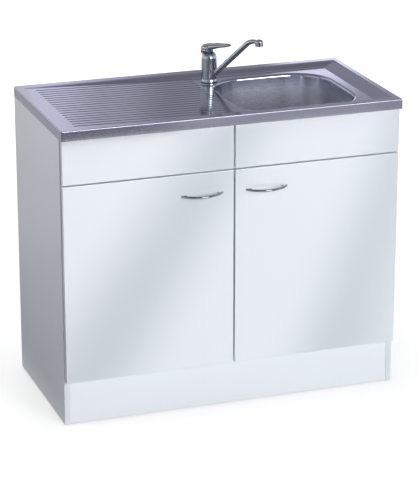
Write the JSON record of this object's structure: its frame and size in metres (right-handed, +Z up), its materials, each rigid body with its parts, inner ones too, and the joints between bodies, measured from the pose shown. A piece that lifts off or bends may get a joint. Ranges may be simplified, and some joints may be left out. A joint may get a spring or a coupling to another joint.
{
  "type": "kitchen sink unit",
  "caption": "Two-door kitchen base cabinet with a stainless steel drainer and bowl sink top, bottle trap and single-lever mixer tap.",
  "frame": {"origin": "on the floor, under the middle of the unit's overall box", "axes": "+X to the right seen from the front, +Y from the front to the wall, +Z up"},
  "size_m": [1, 0.518, 1.013],
  "materials": {
    "sink_steel": "linen-brushed stainless steel sheet",
    "bright_steel": "polished stainless steel",
    "tap_chrome": "polished chrome on brass",
    "chrome": "polished chrome",
    "front_board": "white gloss foil on chipboard",
    "carcass": "white melamine on chipboard",
    "hardboard": "white-faced hardboard",
    "raw_board": "bare wood",
    "zinc": "zinc-plated steel",
    "nickel": "nickel-plated steel",
    "clear_plastic": "natural nylon",
    "white_plastic": "white polypropylene",
    "ceramic_plastic": "grey acetal",
    "mark_plastic": "dark plug",
    "pad": "clear soft pad",
    "seal": "black rubber"
  },
  "bodies": {
    "cabinet": {"sink_top": "sink_steel", "side_panel_left": "carcass", "side_panel_right": "carcass", "bottom_panel": "carcass", "front_rail": "carcass", "back_rail": "carcass", "back_panel": "hardboard", "plinth_board": "front_board", "drainer_battens": "raw_board", "false_front_left": "front_board", "false_front_right": "front_board", "wood_dowels": "raw_board", "cam_fittings": "zinc", "board_screws": "zinc", "false_front_screws": "zinc", "front_spacers": "clear_plastic", "plinth_brackets": "zinc", "floor_glides": "white_plastic", "sink_clips": "zinc", "hinge_plates": "nickel", "hinge_arms": "nickel", "strainer_flange": "bright_steel", "strainer_gasket": "seal", "waste_body": "white_plastic", "waste_screw": "bright_steel", "trap_inlet_tube": "white_plastic", "trap_nuts": "white_plastic", "trap_body": "white_plastic", "trap_cup": "white_plastic", "outlet_pipe": "white_plastic", "overflow_rosette": "bright_steel", "overflow_screw": "bright_steel", "overflow_elbow": "white_plastic", "overflow_pipe": "white_plastic", "tap_gasket": "seal", "tap_base": "tap_chrome", "tap_stud": "zinc", "tap_clamp_plate": "zinc", "tap_stud_nut": "zinc", "tap_body": "tap_chrome", "tap_cartridge": "ceramic_plastic"},
    "door_left": {"door_left": "front_board", "handle_left": "chrome", "handle_screws_left": "zinc", "hinge_cups_left": "nickel", "hinge_cup_screws_left": "zinc", "door_bumpers_left": "pad"},
    "door_right": {"door_right": "front_board", "handle_right": "chrome", "handle_screws_right": "zinc", "hinge_cups_right": "nickel", "hinge_cup_screws_right": "zinc", "door_bumpers_right": "pad"},
    "spout": {"tap_spout": "tap_chrome", "spout_aerator": "tap_chrome"},
    "lever_turn": {"cartridge_carrier": "ceramic_plastic"},
    "lever_lift": {"tap_lever": "tap_chrome", "lever_pin": "zinc", "lever_plug": "mark_plastic"},
    "basket": {"strainer_basket": "bright_steel"}
  },
  "joints": [
    {"name": "door_left_hinge", "type": "hinge", "parent": "cabinet", "child": "door_left", "pos_m": [-0.4965, -0.229, 0.4215], "axis": [0, 0, -1], "range_deg": [0, 110]},
    {"name": "door_right_hinge", "type": "hinge", "parent": "cabinet", "child": "door_right", "pos_m": [0.4965, -0.229, 0.4215], "axis": [0, 0, 1], "range_deg": [0, 110]},
    {"name": "spout_swivel", "type": "hinge", "parent": "cabinet", "child": "spout", "pos_m": [0.063, 0.164, 0.879], "axis": [0, 0, 1], "continuous": true},
    {"name": "lever_turn", "type": "hinge", "parent": "cabinet", "child": "lever_turn", "pos_m": [0.063, 0.164, 0.929], "axis": [0, 0, 1], "range_deg": [-50, 50]},
    {"name": "lever_lift", "type": "hinge", "parent": "lever_turn", "child": "lever_lift", "pos_m": [0.063, 0.164, 0.929], "axis": [-0.866, -0.5, 0], "range_deg": [0, 20]},
    {"name": "basket_lift", "type": "slide", "parent": "cabinet", "child": "basket", "axis": [0, 0, 1], "range_m": [0, 0.16]}
  ]
}
